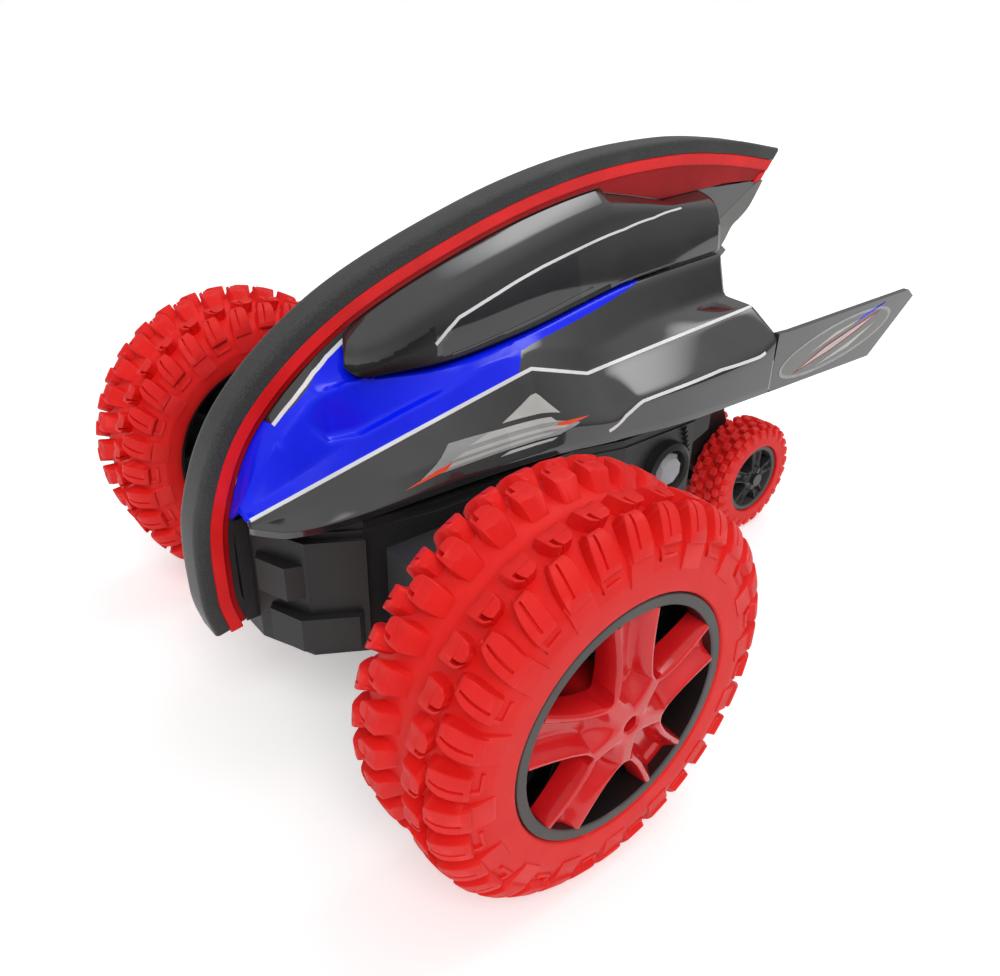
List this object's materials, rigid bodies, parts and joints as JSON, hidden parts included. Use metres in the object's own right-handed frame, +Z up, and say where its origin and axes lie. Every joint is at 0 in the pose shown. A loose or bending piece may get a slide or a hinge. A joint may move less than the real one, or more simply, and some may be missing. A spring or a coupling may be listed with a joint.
{
  "type": "rc stunt car",
  "caption": "Low stunt car with two big knobbed wheels, a tall foam-edged centre fin, a split body shell, side wings and small twin tail wheels.",
  "frame": {"origin": "on the floor, under the centre of the car's bounding box", "axes": "+X is the car's left, -Y is the front, +Z is up"},
  "size_m": [0.2472, 0.3135, 0.1776],
  "materials": {
    "matte_black": "fine matt texture",
    "gloss_black": "polished",
    "blue_shell": "polished, painted",
    "red_gloss": "polished",
    "foam": "closed-cell foam",
    "red_rubber": "matt",
    "grey_plastic": "satin",
    "steel": "bright",
    "bronze": "sintered",
    "gear_white": "satin",
    "board": "solder mask",
    "battery": "shrink wrap",
    "clear_lens": "clear, moulded facets"
  },
  "bodies": {
    "chassis": {"chassis_tub": "matte_black", "chassis_deck": "matte_black", "front_bumper": "matte_black", "tail_strut": "matte_black", "body_spine": "grey_plastic", "left_shell": "blue_shell", "right_shell": "blue_shell", "left_canopy": "gloss_black", "right_canopy": "gloss_black", "left_wing": "gloss_black", "right_wing": "gloss_black", "fin_rail": "red_gloss", "foam_strip": "foam", "battery_pack": "battery", "battery_cover": "matte_black", "circuit_board": "board", "power_switch": "steel", "left_lamp_bezel": "matte_black", "right_lamp_bezel": "matte_black", "left_lamp_lens": "clear_lens", "right_lamp_lens": "clear_lens", "left_motor": "steel", "right_motor": "steel", "left_gearbox": "matte_black", "right_gearbox": "matte_black", "left_gearbox_cover": "matte_black", "right_gearbox_cover": "matte_black", "left_bush": "bronze", "right_bush": "bronze", "left_idler_pin": "steel", "right_idler_pin": "steel", "tail_axle": "steel", "body_screws": "steel", "deck_screws": "steel"},
    "left_wheel": {"left_wheel_gear": "gear_white", "left_axle": "steel", "left_rim": "grey_plastic", "left_spokes": "red_gloss", "left_tyre": "red_rubber", "left_hub_screw": "steel"},
    "left_idler": {"left_idler_gear": "gear_white"},
    "left_motor_shaft": {"left_pinion": "bronze"},
    "left_tail_wheel": {"left_tail_rim": "grey_plastic", "left_tail_tyre": "red_rubber"},
    "right_wheel": {"right_wheel_gear": "gear_white", "right_axle": "steel", "right_rim": "grey_plastic", "right_spokes": "red_gloss", "right_tyre": "red_rubber", "right_hub_screw": "steel"},
    "right_idler": {"right_idler_gear": "gear_white"},
    "right_motor_shaft": {"right_pinion": "bronze"},
    "right_tail_wheel": {"right_tail_rim": "grey_plastic", "right_tail_tyre": "red_rubber"},
    "switch": {"switch_knob": "gear_white"}
  },
  "joints": [
    {"name": "left_wheel_spin", "type": "hinge", "parent": "chassis", "child": "left_wheel", "pos_m": [0, -0.09025, 0.06], "axis": [1, 0, 0], "continuous": true},
    {"name": "left_idler_spin", "type": "hinge", "parent": "chassis", "child": "left_idler", "pos_m": [0, -0.07025, 0.06], "axis": [1, 0, 0], "continuous": true},
    {"name": "left_motor_spin", "type": "hinge", "parent": "chassis", "child": "left_motor_shaft", "pos_m": [0, -0.05225, 0.06], "axis": [1, 0, 0], "continuous": true},
    {"name": "left_tail_spin", "type": "hinge", "parent": "chassis", "child": "left_tail_wheel", "pos_m": [0, 0.10325, 0.0267], "axis": [1, 0, 0], "continuous": true},
    {"name": "right_wheel_spin", "type": "hinge", "parent": "chassis", "child": "right_wheel", "pos_m": [0, -0.09025, 0.06], "axis": [1, 0, 0], "continuous": true},
    {"name": "right_idler_spin", "type": "hinge", "parent": "chassis", "child": "right_idler", "pos_m": [0, -0.07025, 0.06], "axis": [1, 0, 0], "continuous": true},
    {"name": "right_motor_spin", "type": "hinge", "parent": "chassis", "child": "right_motor_shaft", "pos_m": [0, -0.05225, 0.06], "axis": [1, 0, 0], "continuous": true},
    {"name": "right_tail_spin", "type": "hinge", "parent": "chassis", "child": "right_tail_wheel", "pos_m": [0, 0.10325, 0.0267], "axis": [1, 0, 0], "continuous": true},
    {"name": "switch_slide", "type": "slide", "parent": "chassis", "child": "switch", "axis": [0, 1, 0], "range_m": [0, 0.004]}
  ],
  "couplings": [
    {"joint": "left_idler_spin", "follows": "left_wheel_spin", "ratio": -3},
    {"joint": "left_motor_spin", "follows": "left_wheel_spin", "ratio": 7.8},
    {"joint": "right_idler_spin", "follows": "right_wheel_spin", "ratio": -3},
    {"joint": "right_motor_spin", "follows": "right_wheel_spin", "ratio": 7.8}
  ]
}
